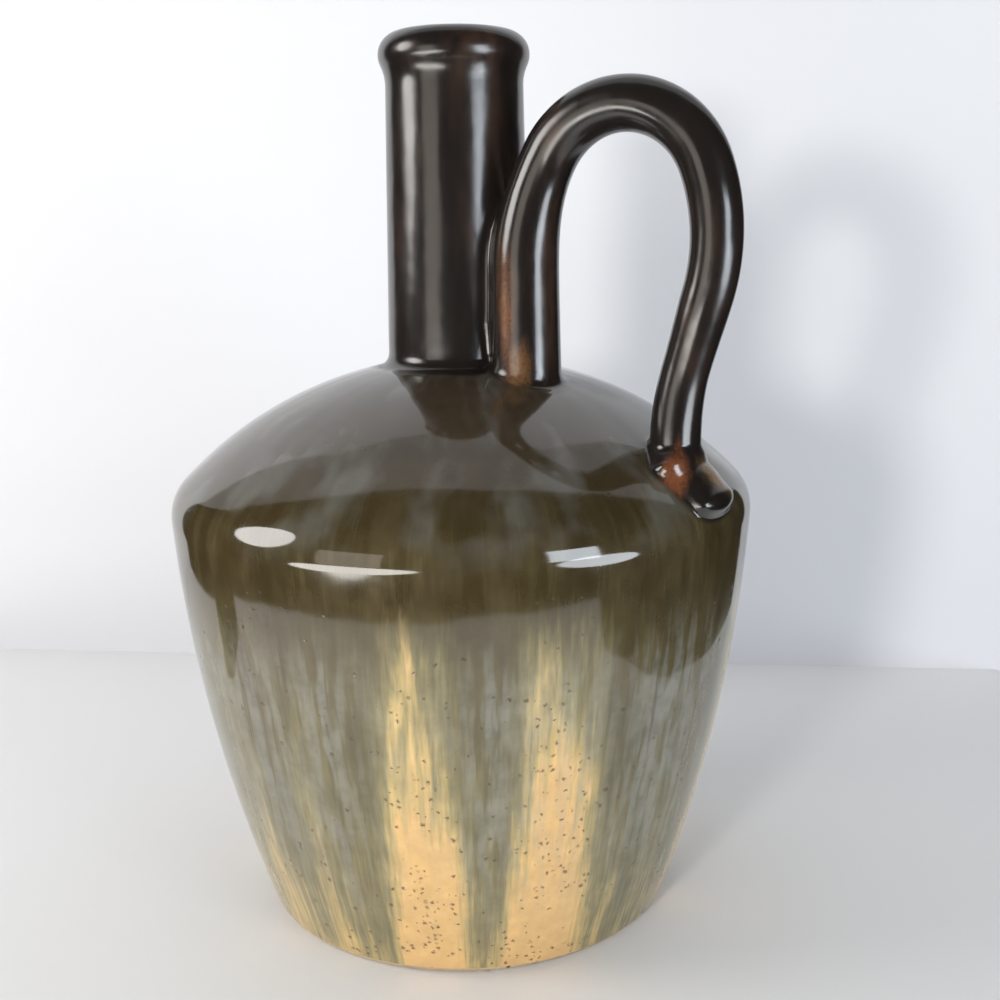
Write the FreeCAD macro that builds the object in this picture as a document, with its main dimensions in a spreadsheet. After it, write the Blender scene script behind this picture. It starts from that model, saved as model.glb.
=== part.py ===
import FreeCAD, Part

import os
from enum import IntEnum, auto
from math import acos, atan2, cos, pi, radians, sin, sqrt
from types import SimpleNamespace

import Sketcher

# A tall-necked stoneware jug with a looped handle, in millimetres. The pot's axis is +Z, its base rests on
# z = 0, and the handle lies in a plane parallel to XZ on the +X side. Radii and heights of the pot are
# those of the finished, glazed surface; the fired clay lies one glaze thickness inside it.

# Driving dimensions.
SIZES = {
    # Whole pot.
    "glaze_thickness": 0.8,
    "slip_thickness": 0.9,
    # Belly: a bellied wall over a flat base, a tight corner and a domed shoulder.
    "foot_radius": 58.0,
    "foot_round": 1.8,
    "glaze_line": 2.2,
    "wall_radius": 430.0,
    "belly_radius": 82.0,
    "belly_height": 116.0,
    "corner_radius": 13.0,
    "dome_radius": 110.0,
    "wall_thickness": 5.0,
    "floor_thickness": 6.0,
    "floor_round": 12.0,
    # Neck: a slightly tapered tube with a rolled lip, as long as it stands above the shoulder's top.
    "neck_length": 87.2,
    "neck_root_radius": 19.9,
    "root_rise": 3.7,
    "cove_radius": 4.0,
    "waist_radius": 18.8,
    "flare_radius": 12.0,
    "lip_round": 6.0,
    "mouth_radius": 12.5,
    "mouth_round": 2.1,
    # Handle: route of its centre line, in the plane that stands off the axis. The leg stands beside the
    # neck, the limb inside the belly's edge and the bend above the shoulder; the fall bulges out past
    # the limb, and the bow is a little narrower than the loop.
    "handle_offset": 8.6,
    "leg_standoff": 6.3,
    "leg_sink": 11.3,
    "rise_radius": 58.0,
    "bow_shift": 1.35,
    "bow_tuck": 2.95,
    "loop_height": 83.9,
    "fall_bulge": 10.0,
    "limb_inset": 12.9,
    "bend_rise": 6.0,
    "bend_radius": 12.0,
    "tongue_slope": 52.0,
    "tongue_length": 7.5,
    "tongue_tip": 3.6,
    # Handle: glazed depth of the rod in its plane, station by station, and how much wider it is across it.
    "leg_foot_depth": 18.6,
    "leg_foot_extra_width": 0.2,
    "leg_top_depth": 17.6,
    "leg_top_extra_width": 0.2,
    "rise_depth": 14.6,
    "rise_extra_width": 0.2,
    "bow_depth": 13.9,
    "bow_extra_width": 0.1,
    "fall_depth": 13.0,
    "fall_extra_width": 0.1,
    "run_depth": 12.2,
    "run_extra_width": 0.2,
    "limb_depth": 12.8,
    "limb_extra_width": 1.0,
    "bend_depth": 10.0,
    "bend_extra_width": 9.0,
    "tongue_depth": 7.6,
    "tongue_extra_width": 11.2,
}

# Radii of the fall and the limb, as shares of the one that would join them with no straight run.
FALL_RADIUS_SHARE = 0.267
LIMB_RADIUS_SHARE = 0.373

# How far along the tongue's tip its closing sections stand, as shares of the tip.
TIP_SHARES = (0.6, 0.9)

# How far apart the rod's sections stand, as a share of its depth at the bow.
SPACING_SHARE = 0.6


class Spot(IntEnum):
    """The points of an edge, as a sketch counts them."""

    START = auto()
    END = auto()
    CENTRE = auto()


START, END, CENTRE = Spot

# A sketch counts its own axes backward from its first edge.
HORIZONTAL_AXIS = -START
VERTICAL_AXIS = -END
ORIGIN = (HORIZONTAL_AXIS, START)


class Size:
    """A length: its number, and the words that work it out from the sheet."""

    def __init__(self, number, words):
        self.number = number
        self.words = words

    def __add__(self, other):
        return Size(self.number + other.number, f"({self.words} + {other.words})")

    def __sub__(self, other):
        return Size(self.number - other.number, f"({self.words} - {other.words})")

    def times(self, share):
        return Size(self.number * share, f"({self.words} * {share})")

    def half(self):
        return Size(self.number / 2, f"({self.words} / 2)")

    def over(self, other):
        return Size(self.number / other.number, f"({self.words} / {other.words})")

    def squared(self):
        return Size(self.number**2, f"({self.words})^2")


def root(square):
    return Size(sqrt(square.number), f"sqrt({square.words})")


doc = FreeCAD.newDocument("Jug")
sheet = doc.addObject("Spreadsheet::Sheet", "Sizes")
for row, (name, number) in enumerate(SIZES.items(), 1):
    sheet.set(f"A{row}", name)
    sheet.set(f"B{row}", str(number))
    sheet.setAlias(f"B{row}", name)
doc.recompute()

size = SimpleNamespace(**{name: Size(number, f"Sizes.{name}") for name, number in SIZES.items()})
none = Size(0, "0")

# Insets of the surfaces, from the finished one inward.
clay = size.glaze_thickness
seat = size.glaze_thickness - size.slip_thickness
hollow = size.glaze_thickness + size.wall_thickness
lining = hollow + size.glaze_thickness


def point(x, y):
    return FreeCAD.Vector(x, y, 0)


def towards(start, end, distance):
    """The point at a distance from start, on the way to end."""
    return start + (end - start).normalize() * distance


def meet(one, one_radius, other, other_radius, side):
    """Where two circles cross: side is 1 on the left of the way between their centres, -1 on the right."""
    way = other - one
    along = (way.Length**2 + one_radius**2 - other_radius**2) / (2 * way.Length)
    across = sqrt(one_radius**2 - along**2) * side
    way.normalize()
    return one + way * along + point(-way.y, way.x) * across


def angle(centre, end):
    return atan2(end.y - centre.y, end.x - centre.x)


class Outline:
    """A sketch in the plane of the pot's axis, or off it by an offset; x runs outward and y up."""

    def __init__(self, body, name, offset=none):
        plane = [feature for feature in body.Origin.OriginFeatures if feature.Role == "XZ_Plane"][0]
        self.sketch = body.newObject("Sketcher::SketchObject", name)
        self.sketch.AttachmentSupport = [(plane, "")]
        self.sketch.MapMode = "FlatFace"
        self.sketch.setExpression("AttachmentOffset.Base.z", offset.words)

    def line(self, start, end, construction=False):
        return self.sketch.addGeometry(Part.LineSegment(start, end), construction)

    def arc(self, centre, radius, first, last):
        """An arc of that radius, counterclockwise from the direction of one point to that of another."""
        circle = Part.Circle(centre, FreeCAD.Vector(0, 0, 1), radius.number)
        edge = self.sketch.addGeometry(Part.ArcOfCircle(circle, angle(centre, first), angle(centre, last)))
        self.set("Radius", edge, to=radius)
        return edge

    def hold(self, kind, *places):
        self.sketch.addConstraint(Sketcher.Constraint(kind, *places))

    def set(self, kind, *places, to):
        index = self.sketch.addConstraint(Sketcher.Constraint(kind, *places, to.number))
        self.sketch.setExpression(f"Constraints[{index}]", to.words)

    def place(self, edge, spot, x=None, y=None):
        if x:
            self.set("DistanceX", *ORIGIN, edge, spot, to=x)
        if y:
            self.set("DistanceY", *ORIGIN, edge, spot, to=y)

    def on_axis(self, edge, spot):
        self.hold("PointOnObject", edge, spot, VERTICAL_AXIS)


# Centres and heights that several outlines share.
corner_distance = size.belly_radius - size.corner_radius
inner_dome = size.dome_radius - size.corner_radius
dome_height = size.belly_height - root(inner_dome.squared() - corner_distance.squared())
cove_distance = size.neck_root_radius + size.cove_radius
outer_dome = size.dome_radius + size.cove_radius
cove_height = dome_height + root(outer_dome.squared() - cove_distance.squared())
root_height = cove_height + size.root_rise
total_height = dome_height + size.dome_radius + size.neck_length
rim_distance = size.mouth_radius + size.mouth_round
rim_height = total_height - size.lip_round
mouth_height = total_height - size.mouth_round
bore_radius = size.mouth_radius + size.glaze_thickness

foot = point(size.foot_radius.number, 0)
corner_centre = point(corner_distance.number, size.belly_height.number)
dome_centre = point(0, dome_height.number)
cove_centre = point(cove_distance.number, cove_height.number)
rim_centre = point(rim_distance.number, rim_height.number)
mouth_centre = point(rim_distance.number, mouth_height.number)
wall_centre = meet(
    foot, size.wall_radius.number, corner_centre, (size.wall_radius - size.corner_radius).number, 1
)


def belly_side(outline, inset, base, top, edge_round=None):
    """Wall, corner and shoulder up to the point top, drawn inward by the inset. They stand on the base
    height, over a rounded edge where there is one. Gives the first edge and the shoulder's."""
    wall_arc = size.wall_radius - inset
    if edge_round:
        rise = wall_centre.y - (base + edge_round).number
        run = sqrt((wall_arc - edge_round).number ** 2 - rise**2)
        edge_centre = point(wall_centre.x + run, (base + edge_round).number)
        low = towards(wall_centre, edge_centre, wall_arc.number)
        edge = outline.arc(edge_centre, edge_round, edge_centre - point(0, 1), low)
    else:
        run = sqrt(wall_arc.number**2 - (wall_centre.y - base.number) ** 2)
        low = point(wall_centre.x + run, base.number)
    wall = outline.arc(wall_centre, wall_arc, low, corner_centre)
    corner_high = corner_centre + (corner_centre - dome_centre)
    corner = outline.arc(
        corner_centre, size.corner_radius - inset, corner_centre + (corner_centre - wall_centre), corner_high
    )
    dome = outline.arc(dome_centre, size.dome_radius - inset, corner_centre, top)
    outline.hold("Tangent", wall, END, corner, START)
    outline.hold("Tangent", corner, END, dome, START)
    outline.place(corner, CENTRE, corner_distance, size.belly_height)
    outline.on_axis(dome, CENTRE)
    reach = outline.line(wall_centre, foot, construction=True)
    outline.hold("Coincident", reach, START, wall, CENTRE)
    outline.hold("PointOnObject", reach, END, HORIZONTAL_AXIS)
    outline.place(reach, END, size.foot_radius)
    outline.set("Distance", reach, to=size.wall_radius)
    if edge_round:
        outline.hold("Tangent", edge, END, wall, START)
        return edge, dome
    outline.place(wall, START, y=base)
    return wall, dome


def flat_base(outline, base, side, x):
    """The flat that runs from the axis to the rounded edge of a side."""
    flat = outline.line(point(0, base.number), point(x, base.number))
    outline.hold("Horizontal", flat)
    outline.on_axis(flat, START)
    outline.hold("Tangent", flat, END, side, START)
    if base is none:
        outline.hold("PointOnObject", flat, START, HORIZONTAL_AXIS)
    else:
        outline.place(flat, START, y=base)
    return flat


def neck_side(outline, inset, low):
    """Root, taper, flare and rolled rim, drawn inward by the inset. Gives the first edge and the rim's."""
    root_distance = size.neck_root_radius - inset
    waist_distance = size.waist_radius - inset
    flare_reach = (size.lip_round + size.flare_radius).number
    flare_x = (size.waist_radius + size.flare_radius).number
    flare_centre = point(flare_x, rim_centre.y - sqrt(flare_reach**2 - (flare_x - rim_centre.x) ** 2))
    waist = point(waist_distance.number, flare_centre.y)
    shoulder = point(root_distance.number, root_height.number)
    tube = outline.line(point(root_distance.number, low), shoulder)
    taper = outline.line(shoulder, waist)
    flare = outline.arc(flare_centre, size.flare_radius + inset, rim_centre, waist)
    rim = outline.arc(rim_centre, size.lip_round - inset, flare_centre, rim_centre + point(0, 1))
    outline.hold("Vertical", tube)
    outline.hold("Coincident", tube, END, taper, START)
    outline.hold("Tangent", taper, END, flare, END)
    outline.hold("Tangent", flare, START, rim, START)
    outline.place(tube, END, root_distance, root_height)
    outline.place(taper, END, x=waist_distance)
    outline.place(rim, CENTRE, rim_distance, rim_height)
    return tube, rim


def cove(outline, inset, tube):
    """The hollow curve from the foot of the neck out to the shoulder."""
    edge = outline.arc(cove_centre, size.cove_radius + inset, cove_centre - point(1, 0), dome_centre)
    outline.hold("Tangent", edge, START, tube, START)
    return edge


def mouth_round(outline, inset, rim):
    """The rounded inner edge of the lip."""
    edge = outline.arc(
        mouth_centre, size.mouth_round - inset, mouth_centre + point(0, 1), mouth_centre - point(1, 0)
    )
    outline.hold("Tangent", rim, END, edge, START)
    outline.hold("Horizontal", edge, CENTRE, edge, END)
    outline.place(edge, CENTRE, x=rim_distance)
    return edge


def cove_ray(outline):
    """A construction line from the centre of the shoulder's dome to the centre of the cove."""
    ray = outline.line(dome_centre, cove_centre, construction=True)
    outline.on_axis(ray, START)
    outline.place(ray, START, y=dome_height)
    outline.place(ray, END, cove_distance, cove_height)
    return ray


def join(outline, one, one_spot, other, other_spot):
    """A straight edge between the ends of two others."""
    ends = [outline.sketch.getPoint(one, one_spot), outline.sketch.getPoint(other, other_spot)]
    edge = outline.line(*ends)
    outline.hold("Coincident", edge, START, one, one_spot)
    outline.hold("Coincident", edge, END, other, other_spot)
    return edge


def turn(body, outline, kind="PartDesign::Revolution"):
    """Turn an outline about the pot's axis, as solid or as a cut."""
    feature = body.newObject(kind, f"{outline.sketch.Name}Turned")
    feature.Profile = outline.sketch
    feature.ReferenceAxis = (outline.sketch, ["V_Axis"])
    return feature


def new_body(label):
    body = doc.addObject("PartDesign::Body", label)
    body.Label = label
    return body


def cavity_side(outline, inset, base, edge_round, radius, top):
    """The inside of the pot, from the middle of its floor to a height in the neck."""
    inner_radius = (size.dome_radius - inset).number
    throat = point(radius.number, dome_centre.y + sqrt(inner_radius**2 - radius.number**2))
    edge, dome = belly_side(outline, inset, base, throat, edge_round)
    flat = flat_base(outline, base, edge, outline.sketch.getPoint(edge, START).x)
    bore = outline.line(throat, point(radius.number, top.number))
    outline.hold("Coincident", dome, END, bore, START)
    outline.hold("Vertical", bore)
    outline.place(bore, END, radius, top)
    return flat, bore


# The thrown belly: a solid turned about the axis, then its hollow, which runs out through the shoulder.
belly = new_body("body")
outline = Outline(belly, "BellyOutline")
top = point(0, dome_centre.y + (size.dome_radius - clay).number)
edge, dome = belly_side(outline, clay, none, top, size.foot_round)
flat = flat_base(outline, none, edge, outline.sketch.getPoint(edge, START).x)
outline.on_axis(dome, END)
join(outline, dome, END, flat, START)
solid = turn(belly, outline)
doc.recompute()
whole_volume = solid.Shape.Volume

outline = Outline(belly, "HollowOutline")
flat, bore = cavity_side(
    outline, hollow, size.floor_thickness, size.floor_round, bore_radius, root_height
)
lid = outline.line(point(0, root_height.number), outline.sketch.getPoint(bore, END))
outline.hold("Horizontal", lid)
outline.hold("Coincident", lid, END, bore, END)
outline.on_axis(lid, START)
join(outline, lid, START, flat, START)
turn(belly, outline, "PartDesign::Groove")

# The neck, seated on the shoulder over a layer of slip.
neck = new_body("neck")
outline = Outline(neck, "NeckOutline")
seat_radius = size.dome_radius - seat
root_low = dome_centre.y + sqrt(seat_radius.number**2 - (size.neck_root_radius - clay).number ** 2)
bore_low = dome_centre.y + sqrt(seat_radius.number**2 - bore_radius.number**2)
tube, rim = neck_side(outline, clay, root_low)
mouth = mouth_round(outline, clay, rim)
underside = outline.arc(
    dome_centre,
    seat_radius,
    point((size.neck_root_radius - clay).number, root_low),
    point(bore_radius.number, bore_low),
)
outline.hold("Coincident", underside, START, tube, START)
outline.on_axis(underside, CENTRE)
outline.place(underside, CENTRE, y=dome_height)
bore = join(outline, mouth, END, underside, END)
outline.hold("Vertical", bore)
turn(neck, outline)

# The slip that joins the neck to the shoulder, smoothed into a cove around it.
lute = new_body("neck_lute")
outline = Outline(lute, "LuteOutline")
fillet = outline.arc(cove_centre, size.cove_radius + clay, cove_centre - point(1, 0), dome_centre)
bed_radius = size.dome_radius - clay
bed = outline.arc(
    dome_centre,
    bed_radius,
    cove_centre,
    point(bore_radius.number, dome_centre.y + sqrt(bed_radius.number**2 - bore_radius.number**2)),
)
cap = outline.arc(
    dome_centre,
    seat_radius,
    point((size.neck_root_radius - clay).number, root_low),
    point(bore_radius.number, bore_low),
)
outline.hold("Tangent", fillet, END, bed, START)
outline.hold("Coincident", bed, CENTRE, cap, CENTRE)
outline.on_axis(bed, CENTRE)
outline.place(bed, CENTRE, y=dome_height)
outline.place(bed, END, x=bore_radius)
inner = join(outline, bed, END, cap, END)
outline.hold("Vertical", inner)
outer = outline.line(outline.sketch.getPoint(cap, START), outline.sketch.getPoint(fillet, START))
outline.hold("Coincident", outer, START, cap, START)
outline.hold("Tangent", outer, END, fillet, START)
outline.hold("Vertical", outer)
outline.place(outer, START, x=size.neck_root_radius - clay)
turn(lute, outline)

# The glaze over the belly, from just above the foot to the end of the cove.
belly_coat = new_body("BellyCoat")
outline = Outline(belly_coat, "BellyCoatOutline")
cove_end = towards(dome_centre, cove_centre, size.dome_radius.number)
outside, outside_dome = belly_side(outline, none, size.glaze_line, cove_end)
inside, inside_dome = belly_side(outline, clay, size.glaze_line, cove_end)
ray = cove_ray(outline)
outline.hold("PointOnObject", outside_dome, END, ray)
outline.hold("PointOnObject", inside_dome, END, ray)
join(outline, outside, START, inside, START)
join(outline, outside_dome, END, inside_dome, END)
turn(belly_coat, outline)

# The glaze over the neck and its lip, and down the cove.
neck_coat = new_body("NeckCoat")
outline = Outline(neck_coat, "NeckCoatOutline")
ray = cove_ray(outline)
ends = []
for inset in (none, clay):
    tube, rim = neck_side(outline, inset, cove_centre.y)
    curve = cove(outline, inset, tube)
    outline.place(curve, CENTRE, y=cove_height)
    outline.hold("PointOnObject", curve, END, ray)
    ends.append((curve, mouth_round(outline, inset, rim)))
(outside, outside_lip), (inside, inside_lip) = ends
join(outline, outside, END, inside, END)
join(outline, outside_lip, END, inside_lip, END)
turn(neck_coat, outline)

# The glaze that lines the inside, from the floor up to the lip.
liner = new_body("liner_glaze")
outline = Outline(liner, "LinerOutline")
outer_flat, outer_bore = cavity_side(
    outline, hollow, size.floor_thickness, size.floor_round, bore_radius, mouth_height
)
inner_flat, inner_bore = cavity_side(
    outline,
    lining,
    size.floor_thickness + size.glaze_thickness,
    size.floor_round - size.glaze_thickness,
    size.mouth_radius,
    mouth_height,
)
join(outline, outer_bore, END, inner_bore, END)
join(outline, outer_flat, START, inner_flat, START)
turn(liner, outline)


def envelope(label, inset):
    """The whole pot without its handle, solid through, drawn inward by the inset."""
    body = new_body(label)
    outline = Outline(body, f"{label}Outline")
    edge, dome = belly_side(outline, inset, none, cove_centre, size.foot_round)
    flat = flat_base(outline, none, edge, outline.sketch.getPoint(edge, START).x)
    tube, rim = neck_side(outline, inset, cove_centre.y)
    curve = cove(outline, inset, tube)
    outline.hold("Tangent", curve, END, dome, END)
    crest = outline.sketch.getPoint(rim, END)
    lid = outline.line(crest, point(0, crest.y))
    outline.hold("Horizontal", lid)
    outline.hold("Tangent", rim, END, lid, START)
    outline.on_axis(lid, END)
    join(outline, lid, END, flat, START)
    turn(body, outline)
    return body


finished_pot = envelope("FinishedPot", none)
seat_pot = envelope("SeatPot", seat)
clay_pot = envelope("ClayPot", clay)

# The handle's centre line: a leg beside the neck, a rise and a bow over the top, a fall that leans back
# in, a limb that stands on the shoulder and a tongue that lies down the slope.
route_body = new_body("HandleRoute")
outline = Outline(route_body, "Route", size.handle_offset)
leg_distance = size.neck_root_radius + size.leg_standoff
leg_foot = cove_height - size.leg_sink
limb_distance = size.belly_radius - size.limb_inset
shoulder_square = size.dome_radius.squared() - limb_distance.squared() - size.handle_offset.squared()
bend_height = dome_height + root(shoulder_square) + size.bend_rise
reach = limb_distance + size.fall_bulge
bow_radius = (reach - leg_distance).half() - size.bow_tuck
bow_distance = (reach + leg_distance).half() + size.bow_shift
bow_height = bend_height + size.loop_height - bow_radius
joint_square = (bow_height - bend_height).squared() + size.fall_bulge.squared()
joint_radius = joint_square.over(size.fall_bulge).half()
fall_radius = joint_radius.times(FALL_RADIUS_SHARE)
limb_radius = joint_radius.times(LIMB_RADIUS_SHARE)
fall_distance = reach - fall_radius

bow_centre = point(bow_distance.number, bow_height.number)
rise_x = (leg_distance + size.rise_radius).number
rise_gap = (size.rise_radius - bow_radius).number
rise_centre = point(rise_x, bow_centre.y - sqrt(rise_gap**2 - (rise_x - bow_centre.x) ** 2))
fall_gap = (fall_radius - bow_radius).number
fall_drop = sqrt(fall_gap**2 - (bow_centre.x - fall_distance.number) ** 2)
fall_centre = point(fall_distance.number, bow_centre.y - fall_drop)
limb_centre = point((limb_distance + limb_radius).number, bend_height.number)
bend_centre = point((limb_distance + size.bend_radius).number, bend_height.number)
run_way = limb_centre - fall_centre
run_lean = atan2(run_way.y, run_way.x) + acos((fall_radius + limb_radius).number / run_way.Length)
run_normal = point(cos(run_lean), sin(run_lean))
run_high = fall_centre + run_normal * fall_radius.number
run_low = limb_centre - run_normal * limb_radius.number
slope = radians(size.tongue_slope.number)
bend_end = bend_centre + point(cos(pi + slope), sin(pi + slope)) * size.bend_radius.number
tongue_end = bend_end + point(sin(slope), -cos(slope)) * (size.tongue_length + size.tongue_tip).number

leg = outline.line(point(leg_distance.number, leg_foot.number), point(leg_distance.number, rise_centre.y))
rise = outline.arc(rise_centre, size.rise_radius, bow_centre, rise_centre - point(1, 0))
bow = outline.arc(
    bow_centre, bow_radius, bow_centre + (bow_centre - fall_centre), bow_centre + (bow_centre - rise_centre)
)
fall = outline.arc(fall_centre, fall_radius, run_high, bow_centre)
run = outline.line(run_high, run_low)
limb = outline.arc(limb_centre, limb_radius, run_low, limb_centre - point(1, 0))
bend = outline.arc(bend_centre, size.bend_radius, bend_centre - point(1, 0), bend_end)
tongue = outline.line(bend_end, tongue_end)
outline.hold("Vertical", leg)
outline.place(leg, START, leg_distance, leg_foot)
outline.hold("Tangent", leg, END, rise, END)
outline.hold("Tangent", rise, START, bow, END)
outline.hold("Tangent", bow, START, fall, END)
outline.hold("Tangent", fall, START, run, START)
outline.hold("Tangent", run, END, limb, START)
outline.hold("Tangent", limb, END, bend, START)
outline.hold("Tangent", bend, END, tongue, START)
outline.place(bow, CENTRE, bow_distance, bow_height)
outline.place(fall, CENTRE, x=fall_distance)
outline.place(limb, CENTRE, limb_distance + limb_radius, bend_height)
outline.place(bend, CENTRE, y=bend_height)
outline.set("Distance", tongue, to=size.tongue_length + size.tongue_tip)
tongue_angle = Size(slope - pi / 2, "(Sizes.tongue_slope - 90) * 1deg")
outline.set("Angle", tongue, to=tongue_angle)
route = outline.sketch
doc.recompute()

# Stations along the route: the edge, the share of its length, and the rod's depth and extra width.
tongue_whole = (size.tongue_length + size.tongue_tip).number
stations = [
    (leg, 0, size.leg_foot_depth, size.leg_foot_extra_width),
    (leg, 1, size.leg_top_depth, size.leg_top_extra_width),
    (rise, 1, size.rise_depth, size.rise_extra_width),
    (bow, 0.5, size.bow_depth, size.bow_extra_width),
    (fall, 1, size.fall_depth, size.fall_extra_width),
    (run, 1, size.run_depth, size.run_extra_width),
    (limb, 1, size.limb_depth, size.limb_extra_width),
    (bend, 1, size.bend_depth, size.bend_extra_width),
    (tongue, size.tongue_length.number / tongue_whole, size.tongue_depth, size.tongue_extra_width),
]


def blend(one, other, share):
    """Between two sizes, leaving each of them level."""
    ease = share * share * (3 - 2 * share)
    return one.times(1 - ease) + other.times(ease)


def rod_sections():
    """Distances along the route with the rod's depth and extra width there: the stations, evenly spaced
    sections between them, and the closing ones of the tongue's tip."""
    lengths = [edge.Length for edge in route.Shape.Edges]
    spacing = size.bow_depth.number * SPACING_SHARE
    places = [(sum(lengths[:edge]) + lengths[edge] * share, *sizes) for edge, share, *sizes in stations]
    sections = [places[0]]
    for (start, depth, extra), (end, next_depth, next_extra) in zip(places, places[1:]):
        steps = max(1, round((end - start) / spacing))
        for step in range(1, steps + 1):
            share = step / steps
            sections.append(
                (
                    start + (end - start) * share,
                    blend(depth, next_depth, share),
                    blend(extra, next_extra, share),
                )
            )
    end, depth, extra = places[-1]
    for share in TIP_SHARES:
        fullness = sqrt(1 - share**2)
        sections.append((end + size.tongue_tip.number * share, depth.times(fullness), extra.times(fullness)))
    return sections


def section_placement(distance):
    """Square to the route at a distance along it, with the section's long axis across its plane."""
    edges = list(route.Shape.Edges)
    while distance > edges[0].Length and len(edges) > 1:
        distance -= edges.pop(0).Length
    edge = edges[0]
    backward = edge.Orientation == "Reversed"
    spot = edge.getParameterByLength(edge.Length - distance if backward else distance)
    way = edge.tangentAt(spot) * (-1 if backward else 1)
    rotation = FreeCAD.Rotation(FreeCAD.Vector(0, 1, 0), FreeCAD.Vector(), way, "ZXY")
    return FreeCAD.Placement(edge.valueAt(spot), rotation)


def rod(label, coat):
    """The whole handle's form, thinner all round by the coat."""
    sections = []
    for number, (distance, depth, extra) in enumerate(rod_sections(), 1):
        section = doc.addObject("Part::Ellipse", f"{label}Section{number}")
        section.setExpression("MajorRadius", ((depth + extra).half() - coat).words)
        section.setExpression("MinorRadius", (depth.half() - coat).words)
        section.Placement = section_placement(distance)
        sections.append(section)
    form = doc.addObject("Part::Sweep", label)
    form.Sections = sections
    form.Spine = (route, [f"Edge{number}" for number in range(1, len(route.Shape.Edges) + 1)])
    form.Solid = True
    form.Frenet = True
    return form


def boolean(kind, label, base, tool):
    feature = doc.addObject(f"Part::{kind}", label)
    feature.Label = label
    if kind in ("Cut", "Common"):
        feature.Base = base
        feature.Tool = tool
    return feature


glazed_rod = rod("GlazedRod", none)
clay_rod = rod("ClayRod", clay)

handle = boolean("Cut", "handle", clay_rod, seat_pot)
joints = boolean("Cut", "HandleJoints", boolean("Common", "HandleFeet", clay_rod, seat_pot), clay_pot)
rod_coat = boolean("Cut", "RodCoat", glazed_rod, clay_rod)
handle_glaze = boolean("Cut", "handle_glaze", rod_coat, finished_pot)
body_glaze = boolean("Cut", "body_glaze", belly_coat, clay_rod)
neck_glaze = boolean("Cut", "neck_glaze", neck_coat, clay_rod)

# The two joints of the handle lie on either side of an upright cylinder through the middle of its bow.
divide = doc.addObject("Part::Cylinder", "Divide")
divide.setExpression("Radius", bow_distance.words)
divide.setExpression("Height", total_height.words)
root_lute = boolean("Common", "handle_root_lute", joints, divide)
toe_lute = boolean("Cut", "handle_toe_lute", joints, divide)
doc.recompute()

# Checks: every object is sound, every sketch fully held, the hollow really cut, every sub-part valid.
for item in doc.Objects:
    if {"Invalid", "Error"} & set(item.State):
        raise RuntimeError(f"{item.Name} failed: {item.State}")
    if item.isDerivedFrom("Sketcher::SketchObject") and not item.FullyConstrained:
        raise RuntimeError(f"{item.Name} is not fully held")
if not belly.Shape.Volume < whole_volume:
    raise RuntimeError("the hollow cut nothing")

NODES = (belly, neck, lute, liner, handle, root_lute, toe_lute, body_glaze, neck_glaze, handle_glaze)
for node in NODES:
    shape = node.Shape
    if shape.isNull() or not shape.isValid() or not shape.Solids:
        raise RuntimeError(f"{node.Label} has no valid solid")
    print(f"{node.Label}: {len(shape.Solids)} solid(s), {shape.Volume:.1f} mm3, {shape.BoundBox}")

os.makedirs("parts", exist_ok=True)
for node in NODES:
    node.Shape.exportStep(f"parts/{node.Label}.step")
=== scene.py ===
from math import acos, atan2, cos, hypot, pi, radians, sin, sqrt, tau

import bmesh
import bpy
import numpy as np
from mathutils import Matrix, Vector


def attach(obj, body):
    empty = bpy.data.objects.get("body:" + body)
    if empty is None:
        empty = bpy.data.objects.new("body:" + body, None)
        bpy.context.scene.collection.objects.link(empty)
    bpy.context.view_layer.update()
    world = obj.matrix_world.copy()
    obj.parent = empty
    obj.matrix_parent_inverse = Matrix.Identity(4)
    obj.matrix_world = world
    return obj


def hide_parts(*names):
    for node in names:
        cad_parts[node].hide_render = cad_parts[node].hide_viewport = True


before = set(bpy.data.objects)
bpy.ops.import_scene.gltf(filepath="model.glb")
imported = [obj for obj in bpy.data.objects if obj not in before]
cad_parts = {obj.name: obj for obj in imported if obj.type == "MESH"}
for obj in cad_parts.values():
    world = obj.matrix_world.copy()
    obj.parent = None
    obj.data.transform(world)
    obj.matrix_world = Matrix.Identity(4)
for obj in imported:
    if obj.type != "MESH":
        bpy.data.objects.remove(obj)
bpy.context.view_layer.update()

bl_info = {
    "name": "Stoneware jug",
    "version": (1, 0, 0),
    "blender": (4, 5, 0),
    "location": "View3D > Sidebar > Jug",
    "description": "The glazes, clay and studio of a tall-necked stoneware jug with a looped handle",
    "category": "Add Mesh",
}


def length(name, default, description):
    return bpy.props.FloatProperty(
        name=name, default=default, description=description, unit="LENGTH", subtype="DISTANCE", precision=5
    )


def share(name, default, description):
    return bpy.props.FloatProperty(
        name=name, default=default, description=description, min=0, subtype="FACTOR"
    )


def colour(name, default, description):
    return bpy.props.FloatVectorProperty(
        name=name, default=default, description=description, subtype="COLOR", size=3, min=0, max=1
    )


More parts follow.
